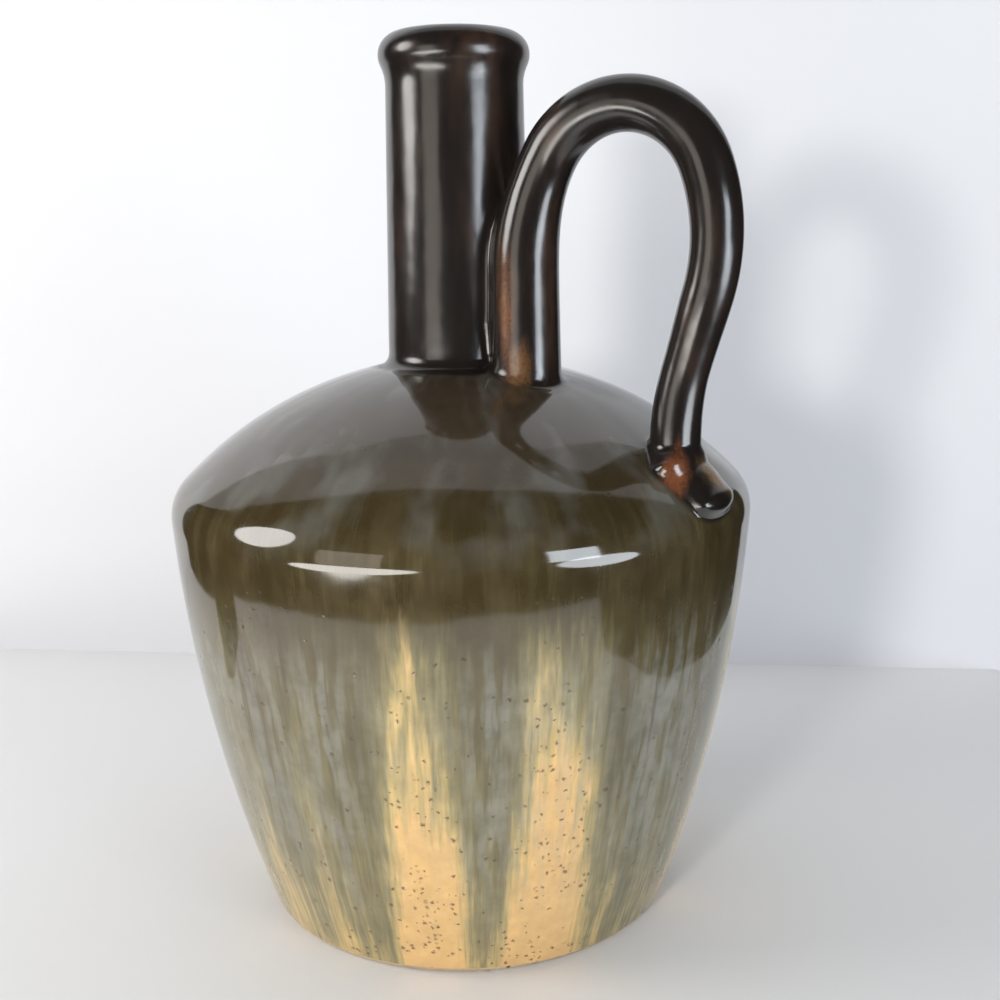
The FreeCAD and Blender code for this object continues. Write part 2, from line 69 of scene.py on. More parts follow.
class JugSizes(bpy.types.PropertyGroup):
    """Sizes of the finished, glazed jug"""

    foot_radius: length("Foot radius", 0.058, "Radius of the base")
    glaze_line: length("Glaze line", 0.0022, "Height at which the glaze stops above the base")
    wall_radius: length("Wall curve", 0.43, "Radius of the belly's upright curve")
    belly_radius: length("Belly radius", 0.082, "Widest radius of the belly")
    belly_height: length("Belly height", 0.116, "Height of the widest part")
    corner_radius: length("Corner", 0.013, "Radius of the turn from wall to shoulder")
    dome_radius: length("Shoulder dome", 0.11, "Radius of the domed shoulder")
    neck_root_radius: length("Neck root", 0.0199, "Radius of the neck at its root")
    root_rise: length("Root rise", 0.0037, "How far the root's tube stands above the cove's middle")
    neck_length: length("Neck length", 0.0872, "Height of the neck above the shoulder's top")
    cove_radius: length("Cove", 0.004, "Radius of the hollow at the neck's foot")
    waist_radius: length("Neck waist", 0.0188, "Radius of the neck under its lip")
    flare_radius: length("Flare", 0.012, "Radius of the hollow under the lip")
    lip_round: length("Lip round", 0.006, "Radius of the rolled lip")
    mouth_radius: length("Mouth radius", 0.0125, "Radius of the mouth")
    mouth_round: length("Mouth round", 0.0021, "Radius of the lip's inner edge")
    glaze_thickness: length("Glaze", 0.0008, "Thickness of the glaze")
    fine_cell: length("Cell", 0.0011, "Distance between the points of the blended glaze")
    seam_height: length("Seam height", 0.109, "Height at which the wall's glaze meets the shoulder's")


class HandleSizes(bpy.types.PropertyGroup):
    """Route and thickness of the handle's rod"""

    offset: length("Offset", 0.0086, "Distance of the handle's plane from the jug's axis")
    leg_standoff: length("Leg", 0.0063, "Distance of the leg's middle from the neck")
    leg_sink: length("Leg sink", 0.0113, "How far the leg reaches below the cove's middle")
    rise_radius: length("Rise", 0.058, "Radius of the rise")
    bow_shift: length("Bow shift", 0.00135, "How far the bow sits outward of the loop's middle")
    bow_tuck: length("Bow tuck", 0.00295, "How much narrower the bow is than the loop")
    loop_height: length("Loop height", 0.0839, "Height of the loop above the bend")
    fall_bulge: length("Fall bulge", 0.01, "How far the fall bulges past the limb")
    limb_inset: length("Limb inset", 0.0129, "Distance of the limb inside the belly's edge")
    bend_rise: length("Bend rise", 0.006, "Height of the bend above the shoulder")
    bend_radius: length("Bend", 0.012, "Radius of the bend onto the shoulder")
    tongue_slope: bpy.props.FloatProperty(
        name="Tongue slope",
        default=radians(52),
        description="Slope of the tongue",
        unit="ROTATION",
        subtype="ANGLE",
    )
    tongue_length: length("Tongue", 0.0075, "Length of the tongue on the shoulder")
    tongue_tip: length("Tongue tip", 0.0040, "Length of the tongue's rounded tip")
    fall_share: share("Fall share", 0.267, "Radius of the fall, against the one with no straight run")
    limb_share: share("Limb share", 0.373, "Radius of the limb, against the same")
    groove_fillet: length("Groove fillet", 0.0050, "Width of the glaze fillet between leg and neck")
    foot_fillet: length("Foot fillet", 0.0031, "Width of the glaze fillet on the shoulder")


class GlazeColours(bpy.types.PropertyGroup):
    """Colours of the glazes and the clay"""

    foot: colour("Foot", (0.61, 0.385, 0.152), "Buff at the bottom of the wall")
    amber: colour("Amber", (0.42, 0.31, 0.125), "Ochre above the foot")
    khaki: colour("Khaki", (0.18, 0.152, 0.072), "Middle of the wall")
    olive: colour("Olive", (0.078, 0.062, 0.031), "Upper wall and corner")
    umber: colour("Umber", (0.040, 0.029, 0.012), "Shoulder")
    bloom: colour("Bloom", (0.046, 0.034, 0.026), "Thin glaze on the shoulder by the neck")
    ash: colour("Ash", (0.235, 0.245, 0.225), "Pale blue-grey runs")
    iron: colour("Iron", (0.06, 0.020, 0.007), "Brown iron specks")
    black: colour("Black", (0.010, 0.0078, 0.0068), "Neck and handle")
    bronze: colour("Bronze", (0.055, 0.028, 0.016), "Bronze breaks of the neck and handle")
    rust: colour("Rust", (0.22, 0.060, 0.020), "Red-orange breaks at the handle's feet")
    clay: colour("Clay", (0.46, 0.36, 0.24), "Bare stoneware")
    slip: colour("Slip", (0.40, 0.31, 0.21), "Joining slip")
    liner: colour("Liner", (0.030, 0.020, 0.012), "Glaze inside the mouth")


def sizes():
    return bpy.context.scene.jug_sizes


def handle_sizes():
    return bpy.context.scene.jug_handle


def colours():
    return bpy.context.scene.jug_colours


# The jug's outline, in radius and height.


class Bend:
    """An arc of the outline from one angle to another; its outer side is to the right of the way."""

    def __init__(self, centre, radius, start, end):
        self.centre = np.array(centre, float)
        self.radius = radius
        self.start = start
        self.turn = end - start
        self.length = abs(self.turn) * radius
        self.side = 1 if self.turn > 0 else -1

    def nearest(self, u, v):
        """Offset to the outer side, distance, and way along, of the points (u, v)."""
        du = u - self.centre[0]
        dv = v - self.centre[1]
        swept = (np.arctan2(dv, du) - self.start) * self.side
        middle = abs(self.turn) / 2
        swept = (swept - middle + pi) % tau - pi + middle
        held = np.clip(swept, 0, abs(self.turn))
        out = np.hypot(du, dv)
        angle = self.start + held * self.side
        qu = du - self.radius * np.cos(angle)
        qv = dv - self.radius * np.sin(angle)
        distance = np.where(held == swept, np.abs(out - self.radius), np.hypot(qu, qv))
        outward = (qu * np.cos(angle) + qv * np.sin(angle)) * self.side
        sign = np.where(held == swept, np.sign(out - self.radius) * self.side, np.sign(outward))
        return sign * distance, distance, held * self.radius


class Run:
    """A straight stretch of the outline."""

    def __init__(self, start, end):
        self.start = np.array(start, float)
        way = np.array(end, float) - self.start
        self.length = hypot(*way)
        self.way = way / self.length

    def nearest(self, u, v):
        du = u - self.start[0]
        dv = v - self.start[1]
        along = du * self.way[0] + dv * self.way[1]
        held = np.clip(along, 0, self.length)
        outward = du * self.way[1] - dv * self.way[0]
        distance = np.hypot(du - held * self.way[0], dv - held * self.way[1])
        return np.where(outward < 0, -distance, distance), distance, held


def nearest_part(parts, u, v):
    """Of the part of a route that is nearest to each point: offset to its outer side, distance, way along."""
    best, start = None, 0
    for part in parts:
        signed, distance, way = part.nearest(u, v)
        found = (signed, distance, start + way)
        if best is None:
            best = found
        else:
            nearer = distance < best[1]
            best = [np.where(nearer, new, old) for new, old in zip(found, best)]
        start += part.length
    return best


def heading(centre, spot):
    return atan2(spot[1] - centre[1], spot[0] - centre[0])


def leg(longest, other):
    """The third side of a triangle with a right angle."""
    return sqrt(longest**2 - other**2)


def circle_meet(one, one_radius, other, other_radius):
    """Where two circles cross, on the left of the way between their centres."""
    one, other = np.array(one, float), np.array(other, float)
    gap = hypot(*(other - one))
    along = (gap**2 + one_radius**2 - other_radius**2) / (2 * gap)
    way = (other - one) / gap
    return one + way * along + np.array([-way[1], way[0]]) * leg(one_radius, along)


class Pot:
    """Centres, heights and outline of the pot without its handle."""

    def __init__(self, s):
        self.corner = np.array([s.belly_radius - s.corner_radius, s.belly_height])
        self.dome_height = s.belly_height - leg(s.dome_radius - s.corner_radius, self.corner[0])
        dome = np.array([0, self.dome_height])
        cove_x = s.neck_root_radius + s.cove_radius
        self.cove = np.array([cove_x, self.dome_height + leg(s.dome_radius + s.cove_radius, cove_x)])
        self.height = self.dome_height + s.dome_radius + s.neck_length
        rim_x = s.mouth_radius + s.mouth_round
        rim = np.array([rim_x, self.height - s.lip_round])
        mouth = np.array([rim_x, self.height - s.mouth_round])
        foot = np.array([s.foot_radius, 0])
        self.wall = circle_meet(foot, s.wall_radius, self.corner, s.wall_radius - s.corner_radius)
        flare_x = s.waist_radius + s.flare_radius
        flare = np.array([flare_x, rim[1] - leg(s.lip_round + s.flare_radius, flare_x - rim_x)])
        root_height = self.cove[1] + s.root_rise
        wall_low = heading(self.wall, foot)
        edge_angle = heading(self.wall, self.corner)
        self.turn_height = self.wall[1] + s.wall_radius * sin(edge_angle)
        dome_turn = heading(dome, self.corner)
        flare_turn = heading(flare, rim)
        self.outline = [
            Bend(self.wall, s.wall_radius, wall_low, edge_angle),
            Bend(self.corner, s.corner_radius, edge_angle, dome_turn),
            Bend(dome, s.dome_radius, dome_turn, heading(dome, self.cove)),
            Bend(self.cove, s.cove_radius, tau + heading(self.cove, dome), pi),
            Run((s.neck_root_radius, self.cove[1]), (s.neck_root_radius, root_height)),
            Run((s.neck_root_radius, root_height), (s.waist_radius, flare[1])),
            Bend(flare, s.flare_radius, pi, flare_turn),
            Bend(rim, s.lip_round, flare_turn - pi, pi / 2),
            Bend(mouth, s.mouth_round, pi / 2, pi),
            Run((s.mouth_radius, mouth[1]), (s.mouth_radius, root_height)),
        ]

    def offset(self, radius, height):
        """Distance outside the pot's surface, less than zero inside."""
        return nearest_part(self.outline, radius, height)[0]

    def wall_radius_at(self, s, height):
        """Radius of the wall and the corner at a height."""
        if height < self.turn_height:
            return self.wall[0] + leg(s.wall_radius, height - self.wall[1])
        return self.corner[0] + leg(s.corner_radius, height - self.corner[1])


# Depth of the handle's rod in its plane, and how much wider it is across, along its route: at the leg's foot
# and top, the rise's end, the bow's top, the ends of the fall, run and limb, the middle and end of the bend,
# and the tongue's end.
ROD_DEPTHS = (0.0186, 0.0176, 0.0146, 0.0139, 0.0130, 0.0122, 0.0129, 0.0125, 0.0106, 0.0081)
ROD_EXTRAS = (0.0002, 0.0002, 0.0002, 0.0001, 0.0001, 0.0002, 0.0012, 0.0104, 0.0092, 0.0112)
ROUNDING = 1e-9
LEAST_GRADIENT = 1e-6


class Rod:
    """The handle's rod, along its route in a plane beside the jug's axis."""

    def __init__(self, s, h, pot):
        leg_x = s.neck_root_radius + h.leg_standoff
        leg_foot = pot.cove[1] - h.leg_sink
        limb_x = s.belly_radius - h.limb_inset
        bend_y = pot.dome_height + sqrt(s.dome_radius**2 - limb_x**2 - h.offset**2) + h.bend_rise
        reach = limb_x + h.fall_bulge
        bow_radius = (reach - leg_x) / 2 - h.bow_tuck
        bow = np.array([(reach + leg_x) / 2 + h.bow_shift, bend_y + h.loop_height - bow_radius])
        joint = ((bow[1] - bend_y) ** 2 + h.fall_bulge**2) / h.fall_bulge / 2
        fall_radius = joint * h.fall_share
        limb_radius = joint * h.limb_share
        rise_x = leg_x + h.rise_radius
        rise = np.array([rise_x, bow[1] - leg(h.rise_radius - bow_radius, rise_x - bow[0])])
        fall_x = reach - fall_radius
        fall = np.array([fall_x, bow[1] - leg(fall_radius - bow_radius, bow[0] - fall_x)])
        limb = np.array([limb_x + limb_radius, bend_y])
        bend = np.array([limb_x + h.bend_radius, bend_y])
        way = limb - fall
        lean = atan2(way[1], way[0]) + acos((fall_radius + limb_radius) / hypot(*way))
        normal = np.array([cos(lean), sin(lean)])
        bend_end = pi + h.tongue_slope
        bend_low = bend + h.bend_radius * np.array([cos(bend_end), sin(bend_end)])
        tongue_way = np.array([sin(h.tongue_slope), -cos(h.tongue_slope)])
        rise_turn = heading(rise, bow) % tau
        fall_turn = heading(fall, bow)
        self.parts = [
            Run((leg_x, leg_foot), (leg_x, rise[1])),
            Bend(rise, h.rise_radius, pi, rise_turn),
            Bend(bow, bow_radius, rise_turn, fall_turn),
            Bend(fall, fall_radius, fall_turn, lean),
            Run(fall + normal * fall_radius, limb - normal * limb_radius),
            Bend(limb, limb_radius, lean + pi, pi),
            Bend(bend, h.bend_radius, pi, bend_end),
            Run(bend_low, bend_low + tongue_way * h.tongue_length),
        ]
        self.offset_y = h.offset
        self.tip = h.tongue_tip
        ends = np.concatenate([[0], np.cumsum([part.length for part in self.parts])])
        self.length = ends[-1]
        bow_top = (ends[2] + ends[3]) / 2
        mid_bend = (ends[6] + ends[7]) / 2
        self.stations = np.array([0, ends[1], ends[2], bow_top, *ends[4:7], mid_bend, *ends[7:]])

    def between(self, along, values):
        """A size between the stations, leaving each of them level."""
        spot = np.clip(np.searchsorted(self.stations, along, side="right") - 1, 0, len(self.stations) - 2)
        start, end = self.stations[spot], self.stations[spot + 1]
        ease = np.clip((along - start) / (end - start), 0, 1)
        ease = ease * ease * (3 - 2 * ease)
        values = np.array(values)
        return values[spot] + (values[spot + 1] - values[spot]) * ease

    def offset(self, x, y, z):
        """Distance outside the rod's surface, less than zero inside."""
        _, away, along = nearest_part(self.parts, x, z)
        last = self.parts[-1]
        past = (x - last.start[0]) * last.way[0] + (z - last.start[1]) * last.way[1] - last.length
        beyond = np.where(along >= self.length - ROUNDING, np.maximum(past, 0), 0)
        across = np.sqrt(np.maximum(away**2 - beyond**2, 0))
        side = y + self.offset_y
        depth = self.between(along, ROD_DEPTHS) / 2
        width = depth + self.between(along, ROD_EXTRAS) / 2
        fullness = np.sqrt((across / depth) ** 2 + (side / width) ** 2 + (beyond / self.tip) ** 2)
        slope = np.sqrt((across / depth**2) ** 2 + (side / width**2) ** 2 + (beyond / self.tip**2) ** 2)
        return fullness * (fullness - 1) / np.maximum(slope, LEAST_GRADIENT)


SLOPE_STEP = 2e-5
LEAST_SLOPE = 0.25


class Form:
    """The whole glazed surface: the pot and the rod, run together with a soft fillet."""

    def __init__(self, s, h):
        self.pot = Pot(s)
        self.rod = Rod(s, h, self.pot)
        self.groove = h.groove_fillet
        self.fillet = h.foot_fillet
        self.neck_foot = self.pot.cove[1]

    def blend_width(self, z):
        ease = np.clip((z - self.neck_foot) / self.rod.offset_y, 0, 1)
        return self.fillet + (self.groove - self.fillet) * ease

    def parts(self, points):
        """Distances outside the pot and the rod."""
        x, y, z = points[..., 0], points[..., 1], points[..., 2]
        return self.pot.offset(np.hypot(x, y), z), self.rod.offset(x, y, z)

    def offset(self, points):
        pot, rod = self.parts(points)
        width = self.blend_width(points[..., 2])
        near = np.maximum(width - np.abs(pot - rod), 0) / width
        return np.minimum(pot, rod) - near * near * width / 4

    def slope(self, points):
        """The outward direction at points, by small steps along each axis."""
        rise = []
        for axis in np.eye(3) * SLOPE_STEP:
            rise.append((self.offset(points + axis) - self.offset(points - axis)) / (2 * SLOPE_STEP))
        return np.stack(rise, -1)

    def normals(self, points):
        slope = self.slope(points)
        return slope / np.linalg.norm(slope, axis=-1, keepdims=True)

    def settle(self, points, rounds=4):
        """Points moved onto the surface, with the surface's normals there."""
        for _ in range(rounds):
            slope = self.slope(points)
            reach = self.offset(points) / np.maximum((slope**2).sum(-1), LEAST_SLOPE)
            points = points - slope * reach[..., None]
        return points, self.normals(points)


CELL_CORNERS = np.array([(i, j, k) for i in (0, 1) for j in (0, 1) for k in (0, 1)])
CELL_EDGES = [
    (a, b) for a in range(8) for b in range(a, 8) if abs(CELL_CORNERS[a] - CELL_CORNERS[b]).sum() == 1
]


def net(form, low, high, cell):
    """Quads over the form's surface inside a box, one point to each cell that the surface crosses."""
    axes = [np.arange(a, b + cell, cell) for a, b in zip(low, high)]
    shape = tuple(len(axis) for axis in axes)
    values = np.empty(shape)
    for layer, z in enumerate(axes[2]):
        x, y = np.meshgrid(axes[0], axes[1], indexing="ij")
        values[:, :, layer] = form.offset(np.stack([x, y, np.full_like(x, z)], -1))
    inside = values < 0
    count = 0
    for corner in CELL_CORNERS:
        reach = tuple(slice(start, start + size - 1) for start, size in zip(corner, shape))
        count = count + inside[reach].astype(np.int8)
    cells = np.argwhere((count > 0) & (count < len(CELL_CORNERS)))
    index = np.full(tuple(n - 1 for n in shape), -1)
    index[tuple(cells.T)] = np.arange(len(cells))
    corners = cells[:, None, :] + CELL_CORNERS[None]
    corner_values = values[tuple(np.moveaxis(corners, -1, 0))]
    total = np.zeros((len(cells), 3))
    crossings = np.zeros(len(cells))
    for a, b in CELL_EDGES:
        va, vb = corner_values[:, a], corner_values[:, b]
        crosses = (va < 0) != (vb < 0)
        part = np.where(crosses, va / np.where(crosses, va - vb, 1), 0)
        spot = CELL_CORNERS[a] + (CELL_CORNERS[b] - CELL_CORNERS[a]) * part[:, None]
        total += spot * crosses[:, None]
        crossings += crosses
    points = low + (cells + total / crossings[:, None]) * cell
    quads = []
    for a in range(3):
        b, c = (a + 1) % 3, (a + 2) % 3
        start = np.moveaxis(inside, a, 0)[:-1]
        end = np.moveaxis(inside, a, 0)[1:]
        edge = np.moveaxis(start != end, 0, a)
        outward = np.moveaxis(start & ~end, 0, a)
        spots = np.argwhere(edge)
        spots = spots[(spots[:, b] > 0) & (spots[:, c] > 0)]
        spots = spots[(spots[:, b] < shape[b] - 1) & (spots[:, c] < shape[c] - 1)]
        ring = []
        for back_b, back_c in ((1, 1), (0, 1), (0, 0), (1, 0)):
            cell_spot = spots.copy()
            cell_spot[:, b] -= back_b
            cell_spot[:, c] -= back_c
            ring.append(index[tuple(cell_spot.T)])
        faces = np.stack(ring, -1)
        way = outward[tuple(spots.T)]
        quads.append(np.where(way[:, None], faces, faces[:, ::-1]))
    return points, np.concatenate(quads)


def open_edges(quads, count):
    """The edges that only one face has, each in that face's direction."""
    edges = np.concatenate([quads[:, [k, (k + 1) % 4]] for k in range(4)])
    key = edges[:, 0] * count + edges[:, 1]
    return edges[~np.isin(key, edges[:, 1] * count + edges[:, 0])]


def reach_and_height(points, quads):
    """Distance from the axis, and height, of the middles of faces."""
    middle = points[quads].mean(1)
    return np.hypot(middle[:, 0], middle[:, 1]), middle[:, 2]


def add_object(name, data):
    piece = bpy.data.objects.new(name, data)
    bpy.context.scene.collection.objects.link(piece)
    return piece


def shell(name, points, normals, quads, thickness, on_rod):
    """A closed skin: the faces, a copy one thickness inside them, and a strip along every open edge."""
    used, quads = np.unique(quads, return_inverse=True)
    quads = quads.reshape(-1, 4)
    points, normals = points[used], normals[used]
    count = len(points)
    start, end = open_edges(quads, count).T
    strip = np.stack([end, start, start + count, end + count], -1)
    faces = np.concatenate([quads, quads[:, ::-1] + count, strip])
    mesh = bpy.data.meshes.new(name)
    mesh.from_pydata(np.concatenate([points, points - normals * thickness]).tolist(), [], faces.tolist())
    mesh.polygons.foreach_set("use_smooth", np.ones(len(faces), bool))
    layer = mesh.attributes.new("rod", "FLOAT", "POINT")
    layer.data.foreach_set("value", np.tile(on_rod[used], 2).astype(np.float32))
    mesh.normals_split_custom_set_from_vertices(np.concatenate([normals, -normals]).tolist())
    mesh.validate()
    return add_object(name, mesh)


# Materials.

FLOAT, COLOR = "NodeSocketFloat", "NodeSocketColor"
SURFACE = (("Color", COLOR), ("Roughness", FLOAT), ("Height", FLOAT))
GLAZE_IOR = 1.8
COAT_ROUGHNESS = 0.03
SPECK_BEND = 0.0016


class Value:
    """An output in a node tree, so that sums of outputs become Math nodes."""

    def __init__(self, graph, socket):
        self.graph = graph
        self.socket = socket

    def __add__(self, other):
        return self.graph.math("ADD", self, other)

    def __sub__(self, other):
        return self.graph.math("SUBTRACT", self, other)

    def __rsub__(self, other):
        return self.graph.math("SUBTRACT", other, self)

    def __mul__(self, other):
        return self.graph.math("MULTIPLY", self, other)

    def __truediv__(self, other):
        return self.graph.math("DIVIDE", self, other)

    def __pow__(self, other):
        return self.graph.math("POWER", self, other)


class Graph:
    """Adds nodes to a tree, with the links and values of their inputs."""

    def __init__(self, tree):
        self.tree = tree

    def feed(self, socket, value):
        """Link an output to an input, or set the input to a plain value."""
        if isinstance(value, Value):
            value = value.socket
        if isinstance(value, bpy.types.NodeSocket):
            self.tree.links.new(value, socket)
        else:
            socket.default_value = value

    def add(self, kind, *inputs, **settings):
        node = self.tree.nodes.new(kind)
        named = settings.pop("inputs", {})
        for key, value in settings.items():
            setattr(node, key, value)
        for key, value in [*enumerate(inputs), *named.items()]:
            self.feed(node.inputs[key], value)
        return node

    def value(self, kind, *inputs, output=0, **settings):
        return Value(self, self.add(kind, *inputs, **settings).outputs[output])

    def values(self, kind, **settings):
        """A new node's outputs by their names."""
        return {socket.name: Value(self, socket) for socket in self.add(kind, **settings).outputs}

    def math(self, operation, *inputs):
        return self.value("ShaderNodeMath", *inputs, operation=operation)

    def vector(self, operation, *inputs, output=0):
        return self.value("ShaderNodeVectorMath", *inputs, operation=operation, output=output)

    def place(self):
        return self.value("ShaderNodeTexCoord", output="Object")

    def axes(self, vector):
        return self.values("ShaderNodeSeparateXYZ", inputs={"Vector": vector}).values()

    def ease(self, value, low, high, start=0.0, end=1.0):
        """From start to end as the value goes from low to high, softly at both."""
        return self.value("ShaderNodeMapRange", value, low, high, start, end, interpolation_type="SMOOTHSTEP")

    def mix(self, amount, one, other, blend="MIX"):
        node = self.add("ShaderNodeMix", data_type="RGBA", blend_type=blend, clamp_factor=True)
        for index, value in ((0, amount), (6, one), (7, other)):
            self.feed(node.inputs[index], value)
        return Value(self, node.outputs[2])

    def noise(self, vector, scale, detail=3.0, roughness=0.55, output="Fac"):
        inputs = {"Vector": vector, "Scale": scale, "Detail": detail, "Roughness": roughness}
        return self.value("ShaderNodeTexNoise", inputs=inputs, output=output)

    def cells(self, vector, scale):
        """A number for each cell of a scatter, and the distance from the cell's point."""
        cell = self.values("ShaderNodeTexVoronoi", inputs={"Vector": vector, "Scale": scale})
        return self.value("ShaderNodeSeparateColor", cell["Color"]), cell["Distance"]

    def ramp(self, value, stops, interpolation="LINEAR"):
        node = self.add("ShaderNodeValToRGB", value)
        ramp = node.color_ramp
        ramp.interpolation = interpolation
        while len(ramp.elements) < len(stops):
            ramp.elements.new(1)
        for element, (position, shade) in zip(ramp.elements, stops):
            element.position = position
            element.color = shade if isinstance(shade, tuple) else (shade, shade, shade, 1)
        return Value(self, node.outputs[0])

    def give(self, **values):
        """Link values to the tree's outputs of those names."""
        end = self.add("NodeGroupOutput")
        for label, value in values.items():
            self.feed(end.inputs[label], value)


def tint(shade, times=1.0):
    return (*(channel * times for channel in shade), 1.0)


def new_group(name, outputs=SURFACE, inputs=()):
    """An empty effect group, its graph, and its inputs by their names."""
    group = bpy.data.node_groups.new(name, "ShaderNodeTree")
    for label, kind in outputs:
        group.interface.new_socket(label, in_out="OUTPUT", socket_type=kind)
    for label, kind, default in inputs:
        socket = group.interface.new_socket(label, in_out="INPUT", socket_type=kind)
        socket.default_value = default
    g = Graph(group)
    return group, g, g.values("NodeGroupInput") if inputs else {}


# Round the belly, how far up the buff glaze reaches: turns from the -X side, and share of the wall's height.
BUFF_RISE = (
    (0.00, 0.10), (0.04, 0.45), (0.08, 0.10), (0.12, 0.05), (0.16, 0.20), (0.195, 0.32), (0.215, 0.12),
    (0.245, 0.28), (0.262, 0.12), (0.284, 0.15), (0.296, 0.75), (0.308, 0.90), (0.326, 0.66), (0.337, 0.18),
    (0.356, 0.15), (0.365, 0.62), (0.382, 0.88), (0.402, 0.56), (0.420, 0.10), (0.508, 0.12), (0.526, 0.90),
    (0.540, 0.85), (0.556, 0.10), (0.62, 0.35), (0.68, 0.72), (0.71, 0.66), (0.75, 0.05), (0.82, 0.40),
    (0.88, 0.10), (0.93, 0.62), (0.96, 0.25), (1.00, 0.10),
)

# Round the belly, how strongly pale ash glaze runs down it.
ASH_RUNS = (
    (0.00, 0.30), (0.05, 0.05), (0.10, 0.60), (0.135, 0.10), (0.16, 0.75), (0.185, 0.20), (0.222, 0.75),
    (0.245, 0.15), (0.262, 0.85), (0.280, 0.15), (0.300, 0.25), (0.330, 0.10), (0.348, 0.90), (0.364, 0.20),
    (0.398, 0.55), (0.418, 0.15), (0.440, 0.85), (0.465, 0.70), (0.490, 0.20), (0.512, 0.80), (0.535, 0.10),
    (0.58, 0.60), (0.64, 0.15), (0.70, 0.20), (0.76, 0.75), (0.82, 0.15), (0.88, 0.70), (0.94, 0.10),
    (1.00, 0.30),
)


def belly_effect():
    """Colour, roughness and height of the streaked glaze over the belly, which darkens up the shoulder."""
    c = colours()
    group, g, _ = new_group("streaked_glaze", (*SURFACE, ("Dark", FLOAT)))
    place = g.place()
    x, y, z = g.axes(place)
    radius = g.math("SQRT", x * x + y * y)
    turn = g.math("ARCTAN2", y, x) / tau + 0.5
    safe = g.math("MAXIMUM", radius, 0.004)

    # Space stretched down the pot, so that every noise read in it runs like glaze; the runs waver a little.
    waver = (g.noise(place, 38.0, 2.0) - 0.5) * 0.045
    lean_x = x / safe + waver
    lean_y = y / safe - waver

    def runs(fall, *noise):
        return g.noise(g.value("ShaderNodeCombineXYZ", lean_x, lean_y, z * fall), *noise)

    broad = runs(5.0, 4.2, 3.0)
    middle = runs(2.2, 13.0, 2.0)
    narrow = runs(1.1, 52.0, 2.0, 0.6)
    thread = runs(0.7, 120.0, 2.0, 0.7)
    mottle = g.noise(place, 170.0, 4.0, 0.6)

    level = z / sizes().belly_height
    sway = (middle - 0.5) * 0.62 + (narrow - 0.5) * 0.62 + (thread - 0.5) * 0.12 + (broad - 0.5) * 0.45
    melt = level - g.ramp(turn + waver * 0.12, BUFF_RISE) + sway
    shade = g.ramp(
        g.value("ShaderNodeMapRange", melt, -1.0, 1.0),
        (
            (0.31, tint(c.foot)),
            (0.39, tint(c.amber)),
            (0.49, tint(c.khaki, 1.15)),
            (0.58, tint(c.khaki, 0.80)),
            (0.72, tint(c.khaki, 0.52)),
            (0.86, tint(c.olive)),
            (0.98, tint(c.olive, 0.70)),
        ),
    )

    # Pale ash in runs down the middle of the wall.
    band = g.ease(level, 0.02, 0.40) * g.ease(level, 0.95, 0.70)
    ash = g.ramp(turn, ASH_RUNS, "B_SPLINE") * band * g.ease(runs(1.7, 27.0, 2.0), 0.36, 0.58)
    ash = ash * g.ease(mottle, 0.25, 0.60, 0.50, 1.0)
    shade = g.mix(ash * 0.62, shade, tint(c.ash))

    # The shoulder: umber with olive threads that start at the corner, and a thin grey bloom by the neck.
    high = g.ease(z + sway * 0.016, 0.084, 0.112)
    low = g.ease(z, 0.140, 0.118)
    umber = g.mix(g.ease(middle, 0.40, 0.66, 0.0, 0.55) * low, tint(c.umber), tint(c.olive))
    umber = g.mix(g.ease(narrow, 0.50, 0.75, 0.0, 0.25) * low, umber, tint(c.khaki, 0.6))
    umber = g.mix(g.ease(broad, 0.40, 0.65, 0.0, 0.45), umber, tint(c.umber, 0.6))
    shade = g.mix(high, shade, umber)
    bloom = g.ease(z, 0.126, 0.146) * g.ease(mottle, 0.30, 0.75, 0.4, 1.0)
    shade = g.mix(bloom * 0.85, shade, tint(c.bloom))
    # Painted reflection: pale grey streaks of the ash colour over the shoulder just above the corner, standing
    # in for the pale room seen in the glaze.
    painted_reflection = g.ease(runs(14.0, 5.0, 2.0, 0.5), 0.45, 0.68) * g.ease(z, 0.112, 0.130)
    shade = g.mix(painted_reflection * 0.35, shade, tint(c.ash, 0.7))

    # Iron specks: thick where the buff glaze is bare, few elsewhere.
    bent = g.vector("MULTIPLY", g.noise(place, 900.0, 2.0, 0.5, output="Color"), (SPECK_BEND,) * 3)
    pick, away = g.cells(g.vector("ADD", place, bent), 640.0)
    bare = g.ease(melt, 0.10, -0.35) * g.ease(g.noise(place, 64.0, 2.0), 0.42, 0.56)
    limit = 0.965 - bare * 0.50
    spot = g.ease(away, g.ease(pick, limit, 1.0, 0.25, 0.55), 0.12)
    iron = spot * g.math("GREATER_THAN", pick, limit) * g.ease(high, 0.2, 1.0, 1.0, 0.15)
    shade = g.mix(iron * 0.8, shade, tint(c.iron))
    shade = g.mix(0.30, shade, g.ramp(mottle, ((0.25, 0.50), (0.75, 1.45))), "MULTIPLY")

    # The black of the neck runs a little way onto the shoulder.
    dark = g.ease(radius + (broad - 0.5) * 0.004, 0.0262, 0.0228) * g.ease(z, 0.148, 0.152)

    rough = g.ease(mottle, 0.2, 0.8, 0.055, 0.095) + g.ease(melt, 0.10, -0.30) * 0.10 + iron * 0.25
    height = iron * -0.00006 + g.noise(place, 19.0, 1.0) * 0.00050 + runs(7.0, 3.4, 1.0) * 0.00030
    g.give(Color=shade, Roughness=rough, Height=height, Dark=dark)
    return group


# Where the dark glaze breaks to rust and amber on the handle: middle, reach, strength and share of amber.
BREAKS = (
    ((0.0248, -0.0178, 0.1690), (0.0030, 0.0040, 0.0170), 0.65, 0.35),
    ((0.0278, -0.0186, 0.1575), (0.0032, 0.0036, 0.0070), 0.60, 0.60),
    ((0.0732, -0.0188, 0.1318), (0.0030, 0.0060, 0.0070), 0.65, 0.15),
    ((0.0795, -0.0078, 0.1312), (0.0062, 0.0056, 0.0052), 0.75, 0.85),
)


